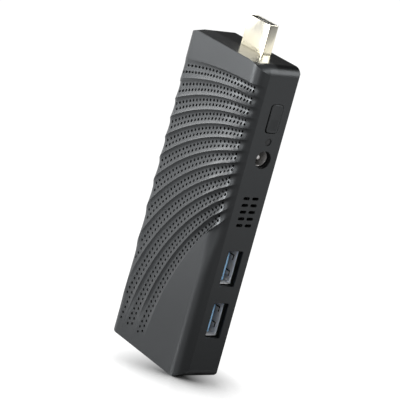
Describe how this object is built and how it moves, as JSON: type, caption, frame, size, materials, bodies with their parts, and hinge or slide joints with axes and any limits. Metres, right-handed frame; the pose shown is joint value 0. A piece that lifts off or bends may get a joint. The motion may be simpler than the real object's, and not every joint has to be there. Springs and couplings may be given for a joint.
{
  "type": "streaming stick",
  "caption": "Stick-shaped media player with an HDMI plug on its end, a curved perforated grille, side vents, USB sockets, a round power jack, a push button and an inner blower.",
  "frame": {"origin": "middle of the lower end's outline, on the face it stands on", "axes": "+Z along the stick towards the HDMI plug, +X towards the port side, +Y towards the plain back"},
  "size_m": [0.047, 0.0196, 0.1361],
  "materials": {
    "case_plastic": "fine satin texture",
    "button_plastic": "fine satin texture",
    "clear_plastic": "milky and clear",
    "screw_steel": "blackened zinc",
    "gold_plate": "pale gold plating",
    "contact_gold": "gold flash",
    "black_plastic": "moulded nylon",
    "blue_plastic": "moulded blue",
    "nickel": "bright nickel plating",
    "board": "green solder mask",
    "chip": "moulded epoxy",
    "metal_can": "tinned sheet",
    "ceramic": "fired ceramic",
    "inductor": "pressed iron powder",
    "pad": "soft silicone",
    "sink_aluminium": "milled",
    "fan_plastic": "glass-filled",
    "magnet": "bonded ferrite",
    "shaft_steel": "ground",
    "bronze": "sintered bronze",
    "core_iron": "stamped sheet",
    "copper": "enamelled copper wire",
    "cell_wrap": "shrink wrap",
    "aerial_film": "flexible film",
    "lead_black": "black jacket",
    "lead_grey": "grey jacket",
    "wire_red": "wire insulation",
    "plug_white": "moulded nylon",
    "memory_plastic": "moulded epoxy"
  },
  "bodies": {
    "case": {"front_cover": "case_plastic", "rear_housing": "case_plastic", "case_screws": "screw_steel", "switch_body": "black_plastic", "light_pipe": "clear_plastic", "power_light": "plug_white", "main_board": "board", "board_screws": "screw_steel", "plug_shell": "gold_plate", "plug_core": "black_plastic", "plug_contacts": "contact_gold", "jack_housing": "black_plastic", "jack_sleeve": "nickel", "jack_pin": "nickel", "processor": "chip", "thermal_pad": "pad", "heat_sink": "sink_aluminium", "sink_screws": "screw_steel", "memory_chips": "memory_plastic", "storage_chip": "chip", "power_chip": "chip", "usb_hub_chip": "chip", "flash_chip": "chip", "timing_crystal": "metal_can", "power_inductors": "inductor", "tank_capacitors": "metal_can", "small_components": "ceramic", "clock_cell": "cell_wrap", "wireless_board": "board", "wireless_chip": "chip", "wireless_shield": "metal_can", "coax_plugs": "contact_gold", "main_aerial": "aerial_film", "second_aerial": "aerial_film", "main_aerial_lead": "lead_black", "second_aerial_lead": "lead_grey", "fan_housing": "fan_plastic", "fan_lid": "metal_can", "fan_bearing": "bronze", "stator_core": "core_iron", "stator_coils": "copper", "fan_driver_board": "board", "fan_screws": "screw_steel", "fan_wires": "wire_red", "fan_plug": "plug_white", "fan_socket": "plug_white", "upper_usb_shell": "nickel", "upper_usb_core": "blue_plastic", "upper_usb_contacts": "contact_gold", "lower_usb_shell": "nickel", "lower_usb_core": "blue_plastic", "lower_usb_contacts": "contact_gold"},
    "button": {"power_button": "button_plastic"},
    "plunger": {"switch_plunger": "plug_white"},
    "rotor": {"fan_rotor": "fan_plastic", "fan_magnet": "magnet", "fan_shaft": "shaft_steel"}
  },
  "joints": [
    {"name": "button_press", "type": "slide", "parent": "case", "child": "button", "axis": [-1, 0, 0], "range_m": [0, 0.00035], "stiffness_N_per_m": 800, "springref_m": -0.001},
    {"name": "plunger_press", "type": "slide", "parent": "case", "child": "plunger", "axis": [-1, 0, 0], "range_m": [0, 0.00035]},
    {"name": "rotor_spin", "type": "hinge", "parent": "case", "child": "rotor", "pos_m": [-0.0069, 0, 0.068], "axis": [0, 1, 0], "continuous": true}
  ],
  "couplings": [
    {"joint": "plunger_press", "follows": "button_press", "ratio": 1}
  ]
}
